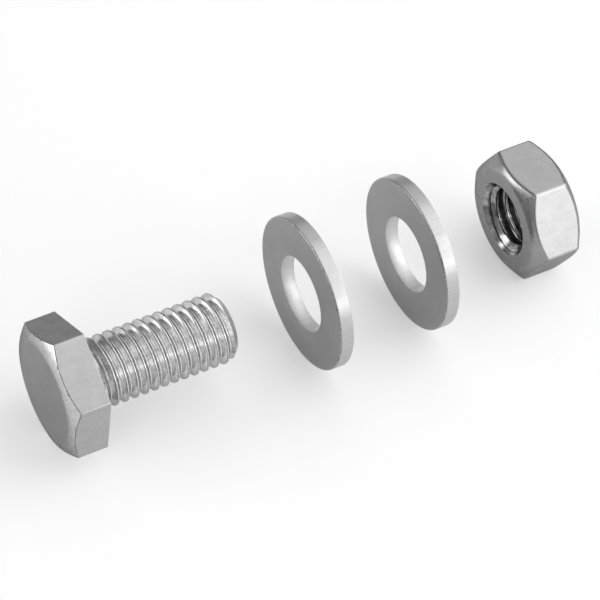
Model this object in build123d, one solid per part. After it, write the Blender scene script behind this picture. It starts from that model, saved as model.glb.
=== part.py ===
from build123d import *
import os
from math import atan, ceil, cos, degrees, radians, tan

# A fully threaded M10 hex bolt with two plain washers and a hex nut, in zinc-plated steel.
# The four pieces stand one behind the other along X, taken apart, as they go together:
# the bolt on the left with its head outwards, the washers upright, the nut on the right.
# Z is up, every piece touches the table at Z 0, and the origin is under the middle of the row.
# All sizes are in millimetres. Each piece is first made about Z, then laid down along X.

# Thread, modelled on the bolt; the nut's hole has its inner width
thread_size = 10.0
thread_pitch = 1.5
flank_angle = 60.0
bolt_thread_slack = 0.12    # the bolt's crest is this much under the thread size, across
tool_reach = 0.06           # how far the groove's outline runs out past the crest

# Bolt head
head_across_flats = 16.9
head_height = 5.7
head_disc_width = 15.6      # the flat disc on the outside of the head
chamfer_angle = 30.0        # corner chamfers of the head and the nut, off the flat face
seat_width = 16.0           # the raised round seat under the head
seat_height = 0.25
seat_sink = 1.0             # how deep the shank's root runs into the head
under_head_break = 0.45     # the sloping corner between the seat and the neck

# Bolt shank
shank_length = 21.3         # from the seat to the tip
neck_width = 9.4            # the plain collar under the head, a little under the thread's crest
neck_length = 0.85
run_out_length = 0.8        # from the plain neck up to the full crest
tip_chamfer = 0.95

# Washers, one for the head and one for the nut
washer_outer_width = 22.2
washer_hole_width = 11.0
washer_thickness = 2.0
washer_rolled_edge = 0.25   # break of the outer edge where the punch went in

# Nut
nut_across_flats = 16.9
nut_height = 8.0
nut_disc_width = 15.8
countersink_width = 10.8
countersink_angle = 90.0

# How the row is laid out on the table
head_turn = -23.5           # the head's own turn about its axis, from lying on a flat
nut_turn = 1.4              # the nut's own turn, measured the same way
bolt_set_back = 0.75        # the bolt and the nut stand this far behind the washers' line
nut_set_back = 1.95
bolt_to_washer = 11.4
washer_to_washer = 14.5
washer_to_nut = 15.0

# Thread form: a sharp 60 degree V, cut off by the crest and the root
flank_slope = tan(radians(flank_angle / 2))
sharp_height = thread_pitch / (2 * flank_slope)
pitch_radius = thread_size / 2 - 3 / 8 * sharp_height
bolt_crest_radius = (thread_size - bolt_thread_slack) / 2
bolt_root_radius = pitch_radius - sharp_height / 3
nut_hole_radius = pitch_radius - sharp_height / 4
chamfer_slope = tan(radians(chamfer_angle))


def corner_radius(across_flats):
    return across_flats / 2 / cos(radians(30))


def hex_reach(across_flats, turn, towards):
    """How far a hexagon reaches from its axis towards an angle; flats face up and down at turn 0."""
    corners = [turn + 30 + 60 * i for i in range(6)]
    return corner_radius(across_flats) * max(cos(radians(a - towards)) for a in corners)


def turned(outline):
    """A solid turned about Z from an outline drawn in X (radius) and Z."""
    return revolve(Plane.XZ * outline, axis=Axis.Z)


def turned_polygon(*points):
    return turned(make_face(Polyline(*points, close=True)))


def groove_turn(run_out=0.0):
    """One right-handed turn of the groove between two ridges.

    run_out is how far the groove's floor moves out over the turn.
    """
    floor = bolt_root_radius
    mouth = bolt_crest_radius + tool_reach
    # at the pitch radius the groove and the ridge are both half a pitch wide
    half_floor = thread_pitch / 4 - (pitch_radius - floor) * flank_slope
    half_mouth = half_floor + (mouth - floor) * flank_slope
    corners = [(floor, -half_floor), (mouth, -half_mouth), (mouth, half_mouth), (floor, half_floor)]
    outline = make_face(Polyline(*corners, close=True))
    cone = degrees(atan(run_out / thread_pitch))
    path = Helix(thread_pitch, thread_pitch, floor, cone_angle=cone)
    section = Plane(origin=(0, 0, 0), x_dir=(1, 0, 0), z_dir=(0, -1, 0)) * outline
    return sweep(section, path=path, is_frenet=True)


def chamfered_hexagon(across_flats, height, disc_width, both_ends):
    """A hexagonal prism from Z 0 up, its corners turned off at the top, or at both ends."""
    prism = extrude(RegularPolygon(across_flats / 2, 6, major_radius=False, rotation=30), height)
    disc = disc_width / 2
    rim = corner_radius(across_flats) + 1
    drop = (rim - disc) * chamfer_slope
    outline = Polyline((0, 0), (rim, 0), (rim, height - drop), (disc, height), (0, height), close=True)
    blank = turned(make_face(outline))
    prism = prism & blank
    if both_ends:
        prism = prism & (Pos(0, 0, height) * Rot(180, 0, 0) * blank)
    return prism


def bolt_blank():
    """Head and shank before the thread is cut. The seat's face is at Z 0 and the tip points up."""
    head = chamfered_hexagon(head_across_flats, head_height - seat_height, head_disc_width, False)
    # the disc faces down, and the hexagon ends at the back of the seat
    head = Pos(0, 0, -seat_height) * Rot(180, 0, 0) * head
    neck = neck_width / 2
    crest = bolt_crest_radius
    seat = seat_width / 2
    shank = turned_polygon(
        (0, -seat_height - seat_sink),
        (seat, -seat_height - seat_sink),
        (seat, 0),
        (neck + under_head_break, 0),
        (neck, under_head_break),
        (neck, neck_length),
        (crest, neck_length + run_out_length),
        (crest, shank_length - tip_chamfer),
        (crest - tip_chamfer, shank_length),
        (0, shank_length),
    )
    return head + shank


def hex_bolt():
    bolt = bolt_blank()
    groove_start = neck_length + run_out_length + thread_pitch / 2
    groove_length = shank_length + thread_pitch / 2 - groove_start
    turn = groove_turn()
    for i in range(ceil(groove_length / thread_pitch)):
        bolt = bolt - Pos(0, 0, groove_start + i * thread_pitch) * turn
    # the last turn climbs out into the plain neck
    climb = neck_width / 2 - bolt_root_radius + tool_reach
    run_out = Rot(180, 0, 0) * groove_turn(climb)
    return bolt - Pos(0, 0, groove_start) * run_out


def plain_washer():
    """A punched ring from Z 0 up, its rolled outer edge at the bottom."""
    outer = washer_outer_width / 2
    hole = washer_hole_width / 2
    return turned_polygon(
        (hole, 0),
        (outer - washer_rolled_edge, 0),
        (outer, washer_rolled_edge),
        (outer, washer_thickness),
        (hole, washer_thickness),
    )


def countersink():
    mouth = countersink_width / 2
    depth = mouth / tan(radians(countersink_angle / 2))
    slack = 0.5
    wide = mouth + slack * tan(radians(countersink_angle / 2))
    return turned_polygon((0, -slack), (wide, -slack), (0, depth))


def hex_nut():
    """A nut from Z 0 up, chamfered and countersunk at both ends, its hole at the thread's inner width."""
    nut = chamfered_hexagon(nut_across_flats, nut_height, nut_disc_width, True)
    nut = nut - Pos(0, 0, nut_height / 2) * Cylinder(nut_hole_radius, 2 * nut_height)
    return nut - countersink() - Pos(0, 0, nut_height) * Rot(180, 0, 0) * countersink()


def lay_down(piece, turn, x, y, z):
    """Point a piece's own Z along X, turn it about that axis, and put it in its place."""
    return Pos(x, y, z) * Rot(turn, 0, 0) * Rot(0, 90, 0) * piece


# Where each piece begins along the row, from the seat under the head
head_washer_x = shank_length + bolt_to_washer
nut_washer_x = head_washer_x + washer_thickness + washer_to_washer
nut_x = nut_washer_x + washer_thickness + washer_to_nut
row_start = -head_height
row_end = nut_x + nut_height

# The origin is under the middle of the row's box
washer_radius = washer_outer_width / 2
backs = (
    washer_radius,
    bolt_set_back + hex_reach(head_across_flats, head_turn, 90),
    nut_set_back + hex_reach(nut_across_flats, nut_turn, 90),
)
fronts = (
    -washer_radius,
    bolt_set_back - hex_reach(head_across_flats, head_turn, -90),
    nut_set_back - hex_reach(nut_across_flats, nut_turn, -90),
)
middle_x = (row_start + row_end) / 2
middle_y = (max(backs) + min(fronts)) / 2
bolt_axis_z = hex_reach(head_across_flats, head_turn, 180)
nut_axis_z = hex_reach(nut_across_flats, nut_turn, 180)

pieces = {
    "hex_bolt": lay_down(hex_bolt(), head_turn, -middle_x, bolt_set_back - middle_y, bolt_axis_z),
    "head_washer": lay_down(plain_washer(), 0, head_washer_x - middle_x, -middle_y, washer_radius),
    "nut_washer": lay_down(plain_washer(), 0, nut_washer_x - middle_x, -middle_y, washer_radius),
    "hex_nut": lay_down(hex_nut(), nut_turn, nut_x - middle_x, nut_set_back - middle_y, nut_axis_z),
}

os.makedirs("parts", exist_ok=True)
for name, piece in pieces.items():
    export_step(piece, f"parts/{name}.step")
    print(name, "volume", round(piece.volume, 1), "solids", len(piece.solids()))
print("seat under the head at x", round(-middle_x, 3), "y", round(bolt_set_back - middle_y, 3))
print("head washer at x", round(head_washer_x - middle_x, 3), "y", round(-middle_y, 3))
print("nut washer at x", round(nut_washer_x - middle_x, 3))
print("nut at x", round(nut_x - middle_x, 3), "y", round(nut_set_back - middle_y, 3))
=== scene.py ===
from math import cos, pi, radians, sin, tan

import bmesh
import bpy
from mathutils import Matrix, Quaternion, Vector


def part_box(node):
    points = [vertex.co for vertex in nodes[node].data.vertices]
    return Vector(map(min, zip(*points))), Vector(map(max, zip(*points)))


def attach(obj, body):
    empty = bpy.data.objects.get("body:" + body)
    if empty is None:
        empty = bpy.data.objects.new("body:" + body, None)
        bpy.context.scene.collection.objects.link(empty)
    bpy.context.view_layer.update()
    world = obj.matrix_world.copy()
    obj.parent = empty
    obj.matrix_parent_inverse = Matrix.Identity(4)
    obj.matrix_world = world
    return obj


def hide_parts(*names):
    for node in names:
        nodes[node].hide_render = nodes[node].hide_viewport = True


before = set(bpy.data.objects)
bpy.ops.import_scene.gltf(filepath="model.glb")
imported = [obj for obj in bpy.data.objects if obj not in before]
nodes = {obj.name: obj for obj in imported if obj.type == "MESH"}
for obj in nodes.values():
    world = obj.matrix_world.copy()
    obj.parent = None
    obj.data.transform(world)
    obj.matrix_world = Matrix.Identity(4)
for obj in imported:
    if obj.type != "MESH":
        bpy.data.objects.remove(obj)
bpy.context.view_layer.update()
print("frame loaded:", ", ".join(sorted(nodes)))

# Pieces are modelled in millimetres about Z and are brought to metres when they are laid along X.
mm = 0.001


# Camera, floor and light

view = {
    "aim": (-1.15, 0.5, 9.0),
    "azimuth": -30.93,
    "elevation": 45.85,
    "roll": 2.66,
    "distance": 477.5,
    "lens": 210,
}


def addCamera():
    turn = radians(view["azimuth"])
    rise = radians(view["elevation"])
    back = Vector((sin(turn) * cos(rise), -cos(turn) * cos(rise), sin(rise)))
    camera = bpy.data.objects.new("camera", bpy.data.cameras.new("camera"))
    camera.data.lens = view["lens"]
    camera.data.sensor_width = 36
    camera.data.clip_start = 0.02
    camera.data.clip_end = 20
    camera.location = (Vector(view["aim"]) + back * view["distance"]) * mm
    camera.rotation_mode = "QUATERNION"
    roll = Quaternion((0, 0, 1), radians(view["roll"]))
    camera.rotation_quaternion = (-back).to_track_quat("-Z", "Y") @ roll
    bpy.context.scene.collection.objects.link(camera)
    bpy.context.scene.camera = camera


addCamera()


studio = {
    "floorColour": 0.98,
    "floorLift": 0.35,
    "floorSize": 6.0,
    "room": 0.38,
    # name, where it stands from the row's middle, metres away, width, height, brightness
    "lamps": [
        ("frontSoftbox", (0.43, -0.81, 0.36), 0.60, 0.58, 0.44, 1.05),
        ("frontStrip", (0.40, -0.87, 0.28), 0.60, 0.34, 0.12, 1.5),
        ("threadBox", (0.63, -0.58, 0.50), 0.60, 0.16, 0.28, 2.5),
        ("flankBox", (-0.65, -0.52, 0.55), 0.60, 0.16, 0.18, 3.0),
        ("topSoftbox", (0.43, -0.19, 0.88), 0.70, 0.64, 0.78, 1.1),
        ("backSoftbox", (0.36, 0.60, 0.72), 0.70, 0.56, 0.52, 0.5),
        ("sideSoftbox", (0.90, -0.05, 0.43), 0.65, 0.50, 0.50, 1.6),
        ("leftSoftbox", (-0.89, 0.38, 0.24), 0.80, 0.70, 0.40, 3.2),
    ],
}


def addFloor():
    bpy.ops.mesh.primitive_plane_add(size=studio["floorSize"], location=(0, 0, 0))
    floor = bpy.context.object
    floor.name = "floor"
    material = bpy.data.materials.new("paleFloor")
    material.use_nodes = True
    shader = material.node_tree.nodes["Principled BSDF"]
    grey = studio["floorColour"]
    shader.inputs["Base Color"].default_value = (grey, grey, grey, 1)
    shader.inputs["Roughness"].default_value = 0.9
    shader.inputs["Specular IOR Level"].default_value = 0.1
    # the camera and the metal see the floor as part paper white, part lit floor with its shadows
    add = material.node_tree.nodes.new
    link = material.node_tree.links.new
    ray = add("ShaderNodeLightPath")
    seen = ray.outputs["Is Camera Ray"]
    for kind in ("Is Glossy Ray", "Is Transmission Ray"):
        either = add("ShaderNodeMath")
        either.operation = "MAXIMUM"
        link(seen, either.inputs[0])
        link(ray.outputs[kind], either.inputs[1])
        seen = either.outputs["Value"]
    share = add("ShaderNodeMath")
    share.operation = "MULTIPLY"
    share.inputs[1].default_value = studio["floorLift"]
    link(seen, share.inputs[0])
    paper = add("ShaderNodeEmission")
    mix = add("ShaderNodeMixShader")
    link(share.outputs["Value"], mix.inputs["Fac"])
    link(shader.outputs["BSDF"], mix.inputs[1])
    link(paper.outputs["Emission"], mix.inputs[2])
    link(mix.outputs["Shader"], material.node_tree.nodes["Material Output"].inputs["Surface"])
    floor.data.materials.append(material)


def addLamps():
    for name, direction, distance, width, height, brightness in studio["lamps"]:
        lamp = bpy.data.objects.new(name, bpy.data.lights.new(name, "AREA"))
        lamp.data.shape = "RECTANGLE"
        lamp.data.size = width
        lamp.data.size_y = height
        lamp.data.energy = pi * brightness * width * height
        away = Vector(direction).normalized()
        lamp.location = away * distance
        lamp.rotation_mode = "QUATERNION"
        lamp.rotation_quaternion = (-away).to_track_quat("-Z", "Y")
        bpy.context.scene.collection.objects.link(lamp)


def addRoom():
    world = bpy.data.worlds.new("room")
    world.use_nodes = True
    grey = studio["room"]
    world.node_tree.nodes["Background"].inputs["Color"].default_value = (grey, grey, grey, 1)
    bpy.context.scene.world = world
    bpy.context.scene.view_settings.view_transform = "Standard"


addFloor()
addLamps()
addRoom()
print("camera, floor and lamps are set")


# Zinc plating. Each surface has its own grey, mottle, streaks and grain; sizes are per metre. The greys
# of the one plating differ by surface as painted light and shade, for how the light falls on each
# surface.

plating = {
    "flats": {
        "grey": 0.45, "glancing": 0.4, "mottle": 0.025, "mottleScale": 420,
        "roughness": 0.27, "roughnessSpread": 0.05,
        "streak": 0.012, "streakScale": (500, 1600, 1600), "grain": 0.06, "grainScale": 3200,
    },
    # painted shade: the flat end faces of the head and the washers are greyed down
    "faces": {
        "grey": 0.38, "glancing": 0.5, "mottle": 0.015, "mottleScale": 350,
        "roughness": 0.33, "roughnessSpread": 0.05,
        "streak": 0.01, "streakScale": (2600, 500, 500), "grain": 0.06, "grainScale": 3600,
    },
    # painted light: the bolt head's chamfer is greyed up
    "chamfers": {
        "grey": 0.55, "glancing": 0.25, "mottle": 0.07, "mottleScale": 2200,
        "roughness": 0.30, "roughnessSpread": 0.10,
        "streak": 0.03, "streakScale": (2600, 900, 900), "grain": 0.20, "grainScale": 3000,
    },
    "nutFlats": {
        "grey": 0.48, "glancing": 0.4, "mottle": 0.02, "mottleScale": 600,
        "roughness": 0.27, "roughnessSpread": 0.05,
        "streak": 0.012, "streakScale": (500, 1600, 1600), "grain": 0.06, "grainScale": 3200,
    },
    # painted shade: the nut's faces and chamfers are greyed down
    "nutFaces": {
        "grey": 0.31, "glancing": 0.5, "mottle": 0.02, "mottleScale": 900,
        "roughness": 0.27, "roughnessSpread": 0.05,
        "streak": 0.01, "streakScale": (2600, 900, 900), "grain": 0.06, "grainScale": 3000,
    },
    "rims": {
        "grey": 0.50, "glancing": 0.8, "mottle": 0.02, "mottleScale": 2500,
        "roughness": 0.34, "roughnessSpread": 0.06,
        "streak": 0.024, "streakScale": (200, 3000, 3000), "grain": 0.08, "grainScale": 2600,
    },
    # painted light: the washers' bores are greyed up
    "cuts": {
        "grey": 0.63, "glancing": 1.0, "mottle": 0.02, "mottleScale": 2500,
        "roughness": 0.46, "roughnessSpread": 0.06,
        "streak": 0.04, "streakScale": (200, 3000, 3000), "grain": 0.08, "grainScale": 2600,
    },
    # painted light: the bolt's thread is greyed up for brighter highlights
    "threads": {
        "grey": 0.65, "glancing": 0.5, "mottle": 0.12, "mottleScale": 2600,
        "roughness": 0.23, "roughnessSpread": 0.08,
        "streak": 0.08, "streakScale": (5200, 500, 500), "grain": 0.12, "grainScale": 3400,
    },
    # painted light: the bolt's tip is greyed up
    "tips": {
        "grey": 0.68, "glancing": 0.9, "mottle": 0.06, "mottleScale": 2600,
        "roughness": 0.36, "roughnessSpread": 0.08,
        "streak": 0.10, "streakScale": (5200, 400, 400), "grain": 0.14, "grainScale": 3400,
    },
    # painted shade: a dark grey for thin lines along the bolt's thread crests and the washers' rolled
    # edges
    "paintedShadeLines": {
        "grey": 0.30, "glancing": 1.0, "mottle": 0.16, "mottleScale": 3000,
        "roughness": 0.35, "roughnessSpread": 0.10,
        "streak": 0.04, "streakScale": (5200, 500, 500), "grain": 0.20, "grainScale": 3400,
    },
    # painted shade: a dark grey for the thin line along the bolt head's arcs
    "paintedShadeEdges": {
        "grey": 0.20, "glancing": 1.0, "mottle": 0.12, "mottleScale": 3000,
        "roughness": 0.35, "roughnessSpread": 0.10,
        "streak": 0.02, "streakScale": (5200, 500, 500), "grain": 0.20, "grainScale": 3400,
    },
    # painted shade: the thread in the nut's hole is greyed down
    "taps": {
        "grey": 0.31, "glancing": 0.6, "mottle": 0.12, "mottleScale": 1400,
        "roughness": 0.17, "roughnessSpread": 0.06,
        "streak": 0.16, "streakScale": (5200, 600, 600), "grain": 0.14, "grainScale": 2600,
    },
}


def zincPlating(name):
    look = plating[name]
    material = bpy.data.materials.new("zinc_" + name)
    material.use_nodes = True
    nodeTree = material.node_tree
    add = nodeTree.nodes.new
    link = nodeTree.links.new
    shader = nodeTree.nodes["Principled BSDF"]
    shader.inputs["Metallic"].default_value = 1
    # below 1 the plating's reflection darkens at a glancing angle: partly the dulling of rough plating,
    # partly painted shade on what it mirrors there
    glancing = look["glancing"]
    shader.inputs["Specular Tint"].default_value = (glancing, glancing, glancing, 1)
    place = add("ShaderNodeTexCoord")

    mottle = add("ShaderNodeTexNoise")
    mottle.inputs["Scale"].default_value = look["mottleScale"]
    mottle.inputs["Detail"].default_value = 4
    mottle.inputs["Roughness"].default_value = 0.6
    link(place.outputs["Object"], mottle.inputs["Vector"])

    stretch = add("ShaderNodeMapping")
    stretch.inputs["Scale"].default_value = look["streakScale"]
    link(place.outputs["Object"], stretch.inputs["Vector"])
    streak = add("ShaderNodeTexNoise")
    streak.inputs["Scale"].default_value = 1
    streak.inputs["Detail"].default_value = 3
    link(stretch.outputs["Vector"], streak.inputs["Vector"])

    def spread(pattern, low, high):
        # the middle of the noise is drawn out to run from low to high
        drawn = add("ShaderNodeMapRange")
        drawn.inputs["From Min"].default_value = 0.3
        drawn.inputs["From Max"].default_value = 0.7
        drawn.inputs["To Min"].default_value = low
        drawn.inputs["To Max"].default_value = high
        link(pattern.outputs["Fac"], drawn.inputs["Value"])
        return drawn.outputs["Result"]

    # grey = middle value, up or down with the mottle and the streaks
    grey = add("ShaderNodeMath")
    grey.operation = "ADD"
    link(spread(mottle, look["grey"] - look["mottle"], look["grey"] + look["mottle"]), grey.inputs[0])
    link(spread(streak, -look["streak"], look["streak"]), grey.inputs[1])
    link(grey.outputs["Value"], shader.inputs["Base Color"])

    half = look["roughnessSpread"] / 2
    link(spread(mottle, look["roughness"] - half, look["roughness"] + half), shader.inputs["Roughness"])

    grain = add("ShaderNodeTexNoise")
    grain.inputs["Scale"].default_value = look["grainScale"]
    grain.inputs["Detail"].default_value = 3
    link(place.outputs["Object"], grain.inputs["Vector"])
    bump = add("ShaderNodeBump")
    bump.inputs["Strength"].default_value = look["grain"]
    bump.inputs["Distance"].default_value = 0.05 * mm
    link(grain.outputs["Fac"], bump.inputs["Height"])
    link(bump.outputs["Normal"], shader.inputs["Normal"])
    return material


zinc = {name: zincPlating(name) for name in plating}
print("plating mixed:", ", ".join(zinc))


# Modelling steps that every piece shares

making = {
    # lengths that differ by less than this, in millimetres, count as the same
    "near": 1e-4,
    "sides": 192,
    "edgeSteps": 4,
    "smoothAngle": 35,
    # how far a bar or a cutting blank runs past the piece that it shapes
    "overrun": 1,
}


def newPiece(name, *finishes):
    piece = bpy.context.object
    piece.name = name
    piece.data.name = name
    for finish in finishes:
        piece.data.materials.append(zinc[finish])
    return piece


def choose(piece, kind, test):
    bpy.ops.mesh.select_mode(type=kind)
    bpy.ops.mesh.select_all(action="DESELECT")
    work = bmesh.from_edit_mesh(piece.data)
    for part in {"VERT": work.verts, "EDGE": work.edges, "FACE": work.faces}[kind]:
        part.select_set(test(part))
    work.select_flush_mode()
    bmesh.update_edit_mesh(piece.data)


def height(part):
    return sum(corner.co.z for corner in part.verts) / len(part.verts)


def reach(part):
    return min(corner.co.xy.length for corner in part.verts)


def pick(piece):
    bpy.ops.object.select_all(action="DESELECT")
    bpy.context.view_layer.objects.active = piece
    piece.select_set(True)


def paint(piece, slot, test):
    piece.active_material_index = slot
    choose(piece, "FACE", test)
    bpy.ops.object.material_slot_assign()


def boolean(piece, tool, operation):
    pick(piece)
    bpy.ops.object.modifier_add(type="BOOLEAN")
    step = piece.modifiers[-1]
    step.operation = operation
    step.solver = "EXACT"
    step.material_mode = "TRANSFER"
    step.object = tool
    bpy.ops.object.modifier_apply(modifier=step.name)
    bpy.data.objects.remove(tool)


def layDown(piece, node, start, turn):
    # the piece's own Z goes along X, its start at the node's low or high end
    low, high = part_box(node)
    middle = (low + high) / 2
    piece.matrix_world = (
        Matrix.Translation((start * mm + low.x, middle.y, middle.z))
        @ Matrix.Rotation(radians(turn), 4, "X")
        @ Matrix.Rotation(pi / 2, 4, "Y")
        @ Matrix.Scale(mm, 4)
    )
    pick(piece)
    bpy.ops.object.transform_apply(location=True, rotation=True, scale=True)
    bpy.ops.object.shade_smooth_by_angle(angle=radians(making["smoothAngle"]))
    bpy.ops.object.modifier_add(type="WEIGHTED_NORMAL")
    piece.modifiers[-1].keep_sharp = True
    bpy.ops.object.modifier_apply(modifier=piece.modifiers[-1].name)
    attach(piece, "root")
    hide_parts(node)


# Thread bar: a closed bar with a right-handed thread, used for the shank and for cutting the nut

thread = {
    "pitch": 1.5,
    "flank": 30,
    "pitchRadius": 4.513,
    "steps": 96,
}


def threadBar(name, finishes, inner, outer, innerRound, outerRound, first, last, grooveAt):
    # the outline of one pitch runs from the middle of one groove to the middle of the next
    near = making["near"]
    pitch = thread["pitch"]
    slope = tan(radians(thread["flank"]))
    halfFloor = pitch / 4 - (thread["pitchRadius"] - inner) * slope
    flank = (outer - inner) * slope
    corners = [
        (inner, 0),
        (inner, halfFloor),
        (outer, halfFloor + flank),
        (outer, pitch - halfFloor - flank),
        (inner, pitch - halfFloor),
        (inner, pitch),
    ]
    turns = int((last - first) / pitch) + 4
    base = grooveAt - pitch * (int((grooveAt - first) / pitch) + 2)
    bpy.ops.object.select_all(action="DESELECT")
    bpy.ops.mesh.primitive_plane_add(size=1, location=(0, 0, 0))
    bar = newPiece(name, *finishes)
    bpy.ops.object.mode_set(mode="EDIT")
    bpy.ops.mesh.select_mode(type="VERT")
    bpy.ops.mesh.select_all(action="SELECT")
    bpy.ops.mesh.merge(type="CENTER")
    bpy.ops.transform.translate(value=(inner, 0, base))
    for (r0, z0), (r1, z1) in zip(corners, corners[1:]):
        bpy.ops.mesh.extrude_vertices_move(TRANSFORM_OT_translate={"value": (r1 - r0, 0, z1 - z0)})
    for radius, rounding in ((inner, innerRound), (outer, outerRound)):
        choose(bar, "VERT", lambda v: abs(v.co.x - radius) < near and len(v.link_edges) == 2
               and min(abs(v.co.z - base - z) for r, z in corners[1:-1]) < near)
        bpy.ops.mesh.bevel(offset=rounding, segments=3, affect="VERTICES")
    bpy.ops.object.mode_set(mode="OBJECT")
    bpy.ops.object.modifier_add(type="SCREW")
    screw = bar.modifiers[-1]
    screw.axis = "Z"
    screw.angle = 2 * pi
    screw.steps = thread["steps"]
    screw.render_steps = thread["steps"]
    screw.screw_offset = pitch
    screw.iterations = turns
    screw.use_merge_vertices = True
    screw.merge_threshold = near
    bpy.ops.object.modifier_apply(modifier=screw.name)
    bpy.ops.object.mode_set(mode="EDIT")
    bpy.ops.mesh.select_all(action="SELECT")
    bpy.ops.mesh.remove_doubles(threshold=near)
    for z, upwards in ((first, False), (last, True)):
        bpy.ops.mesh.select_all(action="SELECT")
        bpy.ops.mesh.bisect(plane_co=(0, 0, z), plane_no=(0, 0, 1), use_fill=True,
                            clear_inner=not upwards, clear_outer=upwards, threshold=1e-5)
    bpy.ops.mesh.select_all(action="SELECT")
    bpy.ops.mesh.normals_make_consistent(inside=False)
    if len(finishes) > 1:
        # the rounded edges of the crest get a dark grey, painted shade along each crest in place of its
        # dark reflections and shade
        paint(bar, 1, lambda f: reach(f) > outer - outerRound and 0.1 < abs(f.normal.z) < 0.8)
    bpy.ops.object.mode_set(mode="OBJECT")
    return bar


def turnedBlank(name, finish, rings):
    # rings are (radius, height) from the bottom cap to the top cap
    bpy.ops.object.select_all(action="DESELECT")
    (r0, z0), (r1, z1) = rings[:2]
    bpy.ops.mesh.primitive_cylinder_add(
        vertices=making["sides"], radius=r0, depth=z1 - z0, location=(0, 0, (z0 + z1) / 2))
    blank = newPiece(name, finish)
    bpy.ops.object.transform_apply(location=True, rotation=True, scale=True)
    bpy.ops.object.mode_set(mode="EDIT")
    choose(blank, "FACE", lambda f: f.normal.z > 0.9)
    bpy.ops.transform.resize(value=(r1 / r0, r1 / r0, 1), center_override=(0, 0, 0))
    for (ra, za), (rb, zb) in zip(rings[1:], rings[2:]):
        bpy.ops.mesh.extrude_region_move(TRANSFORM_OT_translate={"value": (0, 0, zb - za)})
        bpy.ops.transform.resize(value=(rb / ra, rb / ra, 1), center_override=(0, 0, 0))
    bpy.ops.object.mode_set(mode="OBJECT")
    return blank


def hexagonBar(name, finishes, acrossFlats, bottom, top, edge):
    radius = acrossFlats / 2 / cos(radians(30))
    bpy.ops.object.select_all(action="DESELECT")
    bpy.ops.mesh.primitive_cylinder_add(
        vertices=6, radius=radius, depth=top - bottom, location=(0, 0, (bottom + top) / 2))
    bar = newPiece(name, *finishes)
    bpy.ops.object.transform_apply(location=True, rotation=True, scale=True)
    bpy.ops.object.mode_set(mode="EDIT")
    choose(bar, "EDGE", lambda e: abs(e.verts[0].co.z - e.verts[1].co.z) > 0.1)
    bpy.ops.mesh.bevel(offset=edge, segments=making["edgeSteps"], affect="EDGES", profile=0.5)
    bpy.ops.object.mode_set(mode="OBJECT")
    return bar


def dressHexagon(piece, arcEdge, arcFinish, faceFinish):
    # the arcs between the chamfer and the flats are broken, and the flat ends get the finish of a face
    slots = [material.name for material in piece.data.materials]
    pick(piece)
    bpy.ops.object.mode_set(mode="EDIT")
    bpy.ops.mesh.select_all(action="SELECT")
    bpy.ops.mesh.remove_doubles(threshold=2 * making["near"])
    bpy.ops.mesh.dissolve_degenerate(threshold=making["near"])
    paint(piece, slots.index(zinc[faceFinish].name), lambda f: abs(f.normal.z) > 0.995)
    # the flats are in slot 0 and the chamfer in slot 1
    choose(piece, "EDGE", lambda e: {f.material_index for f in e.link_faces} == {0, 1})
    bpy.ops.mesh.bevel(offset=arcEdge, segments=making["edgeSteps"], affect="EDGES",
                       material=slots.index(zinc[arcFinish].name))
    bpy.ops.object.mode_set(mode="OBJECT")


# Hex bolt

bolt = {
    "acrossFlats": 16.9,
    "headHeight": 5.7,
    "discWidth": 15.6,
    "discRound": 1.0,
    "chamfer": 30,
    "cornerEdge": 0.22,
    "arcEdge": 0.08,
    "seatWidth": 16.0,
    "seatHeight": 0.25,
    "underHeadBreak": 0.45,
    "shankLength": 21.3,
    "collarWidth": 9.4,
    "collarLength": 0.85,
    "runOut": 0.8,
    "crest": 4.94,
    "crestRound": 0.07,
    "root": 4.08,
    "rootRound": 0.09,
    "shankSink": 1.0,
    "tipChamfer": 0.95,
    "turn": -23.5,
}


def fadeThread(bar):
    # the ridges and grooves flatten out into the plain collar under the head
    collar = bolt["collarWidth"] / 2
    begin = bolt["collarLength"]
    end = begin + thread["pitch"]
    for corner in bar.data.vertices:
        share = min(max((corner.co.z - begin) / (end - begin), 0), 1)
        share = share * share * (3 - 2 * share)
        radius = corner.co.xy.length
        if radius > 0.1:
            corner.co.xy *= (collar + (radius - collar) * share) / radius


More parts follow.
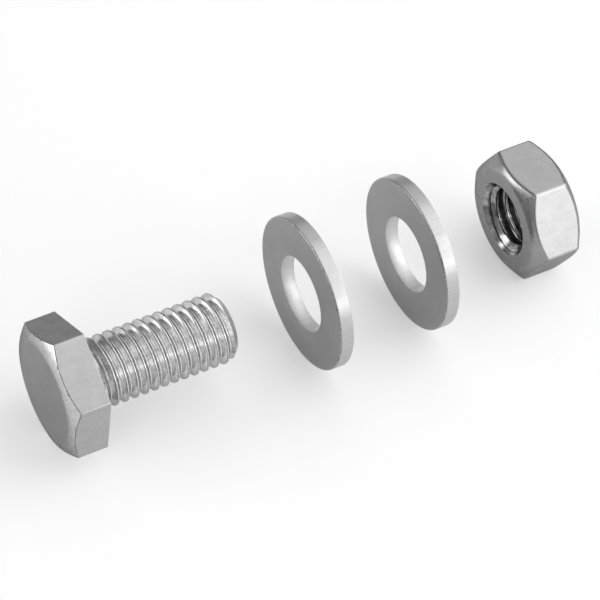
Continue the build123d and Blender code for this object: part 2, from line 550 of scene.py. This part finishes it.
def makeBolt():
    sizes = bolt
    overrun = making["overrun"]
    grooveAt = sizes["collarLength"] + sizes["runOut"] + thread["pitch"] / 2
    sink = sizes["seatHeight"] + sizes["shankSink"]
    shank = threadBar("shank", ("threads", "paintedShadeLines"), sizes["root"], sizes["crest"],
                      sizes["rootRound"], sizes["crestRound"], -sink, sizes["shankLength"], grooveAt)
    fadeThread(shank)
    wide = sizes["crest"] + overrun
    tip = turnedBlank("tip", "tips", [
        (wide, -sink - overrun),
        (wide, sizes["shankLength"] + sizes["crest"] - sizes["tipChamfer"] - wide),
        (sizes["crest"] - sizes["tipChamfer"], sizes["shankLength"]),
    ])
    boolean(shank, tip, "INTERSECT")

    disc = sizes["discWidth"] / 2
    slope = tan(radians(sizes["chamfer"]))
    rim = sizes["acrossFlats"] / 2 / cos(radians(30)) + overrun
    back = -sizes["seatHeight"]
    front = -sizes["headHeight"]
    seat = sizes["seatWidth"] / 2
    neck = sizes["collarWidth"] / 2
    sloping = sizes["underHeadBreak"]
    finishes = ("flats", "chamfers", "faces", "threads", "paintedShadeLines", "paintedShadeEdges", "tips")
    # the bar runs past both ends of the blank, so that no two caps lie in one plane
    head = hexagonBar("hexBolt", finishes, sizes["acrossFlats"],
                      front - overrun, overrun, sizes["cornerEdge"])
    # the turned blank has the disc, the chamfer, the raised seat and the sloping corner to the neck
    blank = turnedBlank("headBlank", "chamfers", [
        (disc, front), (rim, front + (rim - disc) * slope), (rim, back), (seat, back), (seat, 0),
        (neck + sloping, 0), (neck - 0.05, sloping + 0.05)])
    bpy.ops.object.mode_set(mode="EDIT")
    choose(blank, "EDGE", lambda e: abs(height(e) - front) < making["near"])
    bpy.ops.mesh.bevel(offset=sizes["discRound"], segments=5, affect="EDGES")
    bpy.ops.object.mode_set(mode="OBJECT")
    boolean(head, blank, "INTERSECT")
    boolean(head, shank, "UNION")
    # the bevelled arcs between the chamfer and the flats get a dark grey, a painted shade line
    dressHexagon(head, sizes["arcEdge"], "paintedShadeEdges", "faces")
    layDown(head, "hex_bolt", sizes["headHeight"], sizes["turn"])
    print("bolt modelled:", len(head.data.polygons), "faces")


makeBolt()


# Plain washers

washer = {
    "width": 22.194,
    "hole": 11.0,
    "thickness": 2.0,
    "rolledEdge": 0.25,
    "sharpEdge": 0.08,
}


def makeWasher(name, node):
    near = making["near"]
    outer = washer["width"] / 2
    hole = washer["hole"] / 2
    thick = washer["thickness"]
    bpy.ops.object.select_all(action="DESELECT")
    bpy.ops.mesh.primitive_cylinder_add(
        vertices=making["sides"], radius=outer, depth=thick, location=(0, 0, thick / 2))
    finishes = ("faces", "rims", "cuts", "paintedShadeLines")
    ring = newPiece(name, *finishes)
    bpy.ops.object.transform_apply(location=True, rotation=True, scale=True)
    bpy.ops.object.mode_set(mode="EDIT")
    choose(ring, "FACE", lambda f: abs(f.normal.z) > 0.9)
    bpy.ops.mesh.inset(thickness=outer - hole, depth=0)
    bpy.ops.mesh.bridge_edge_loops()
    choose(ring, "EDGE", lambda e: reach(e) > outer - 0.1 and height(e) < near)
    bpy.ops.mesh.bevel(offset=washer["rolledEdge"], segments=5, affect="EDGES")
    choose(ring, "EDGE", lambda e: reach(e) > outer - 0.1 and height(e) > thick - near)
    bpy.ops.mesh.bevel(offset=washer["sharpEdge"], segments=2, affect="EDGES")
    choose(ring, "EDGE", lambda e: reach(e) < hole + 0.1 and min(height(e), thick - height(e)) < near)
    bpy.ops.mesh.bevel(offset=washer["sharpEdge"], segments=2, affect="EDGES")
    middle = (outer + hole) / 2
    for finish, inside in (("rims", False), ("cuts", True)):
        paint(ring, finishes.index(finish),
              lambda f: abs(f.normal.z) < 0.9 and (reach(f) < middle) == inside)
    # painted shade: where the rolled edge leaves the face it gets a dark grey, which draws a dark line
    # along the edge
    paint(ring, finishes.index("paintedShadeLines"),
          lambda f: 0.4 < abs(f.normal.z) < 0.995 and reach(f) > middle and height(f) < thick / 2)
    bpy.ops.mesh.select_all(action="SELECT")
    bpy.ops.mesh.normals_make_consistent(inside=False)
    bpy.ops.object.mode_set(mode="OBJECT")
    layDown(ring, node, 0, 0)
    print(name, "modelled:", len(ring.data.polygons), "faces")


makeWasher("headWasher", "head_washer")
makeWasher("nutWasher", "nut_washer")


# Hex nut

nut = {
    "acrossFlats": 16.9,
    "height": 8.0,
    "discWidth": 14.5,
    "rollOver": 0.7,
    "rollSteps": 6,
    # the roll-over begins at this share of the chamfer's slope
    "rollStart": 0.2,
    "chamfer": 34,
    "rimSlack": 0.3,
    "cornerEdge": 0.30,
    "arcEdge": 0.28,
    "threadInner": 4.188,
    "innerRound": 0.06,
    "threadOuter": 5.06,
    "outerRound": 0.03,
    "grooveAt": -0.2,
    # the drilled hole is this much narrower, on the radius, than the thread that is cut in it
    "drillSlack": 0.2,
    "countersink": 10.8,
    "countersinkAngle": 90,
    "turn": 1.4,
}


def makeNut():
    sizes = nut
    overrun = making["overrun"]
    tall = sizes["height"]
    finishes = ("nutFlats", "nutFaces", "taps")
    body = hexagonBar("hexNut", finishes, sizes["acrossFlats"],
                      -overrun, tall + overrun, sizes["cornerEdge"])
    # the faces roll over into the chamfer, with no edge between them
    rim = sizes["acrossFlats"] / 2 / cos(radians(30)) + sizes["rimSlack"]
    radius = sizes["discWidth"] / 2
    depth = 0
    rings = [(radius, depth)]
    steps = sizes["rollSteps"]
    start = sizes["rollStart"]
    for i in range(steps):
        slope = radians(sizes["chamfer"] * (start + (1 - start) * (i + 0.5) / steps))
        radius += sizes["rollOver"] / steps
        depth += sizes["rollOver"] / steps * tan(slope)
        rings.append((radius, depth))
    rings.append((rim, depth + (rim - radius) * tan(radians(sizes["chamfer"]))))
    blank = turnedBlank("nutBlank", "nutFaces", rings + [(r, tall - z) for r, z in reversed(rings)])
    # a ring is left round each mouth, the countersinks slope in, and the hole joins them
    mouth = sizes["countersink"] / 2
    drilled = sizes["threadInner"] - sizes["drillSlack"]
    bpy.ops.object.mode_set(mode="EDIT")
    choose(blank, "FACE", lambda f: len(f.verts) > 4)
    bpy.ops.mesh.inset(thickness=sizes["discWidth"] / 2 - mouth, depth=0)
    bpy.ops.mesh.inset(thickness=mouth - drilled,
                       depth=(drilled - mouth) / tan(radians(sizes["countersinkAngle"] / 2)))
    bpy.ops.mesh.bridge_edge_loops()
    blank.data.materials.append(zinc["taps"])
    paint(blank, 1, lambda f: reach(f) < mouth - 0.01)
    bpy.ops.object.mode_set(mode="OBJECT")
    boolean(body, blank, "INTERSECT")
    tap = threadBar("tap", ("taps",), sizes["threadInner"], sizes["threadOuter"],
                    sizes["innerRound"], sizes["outerRound"], -overrun, tall + overrun, sizes["grooveAt"])
    boolean(body, tap, "DIFFERENCE")
    dressHexagon(body, sizes["arcEdge"], "nutFaces", "nutFaces")
    layDown(body, "hex_nut", 0, sizes["turn"])
    print("nut modelled:", len(body.data.polygons), "faces")


makeNut()
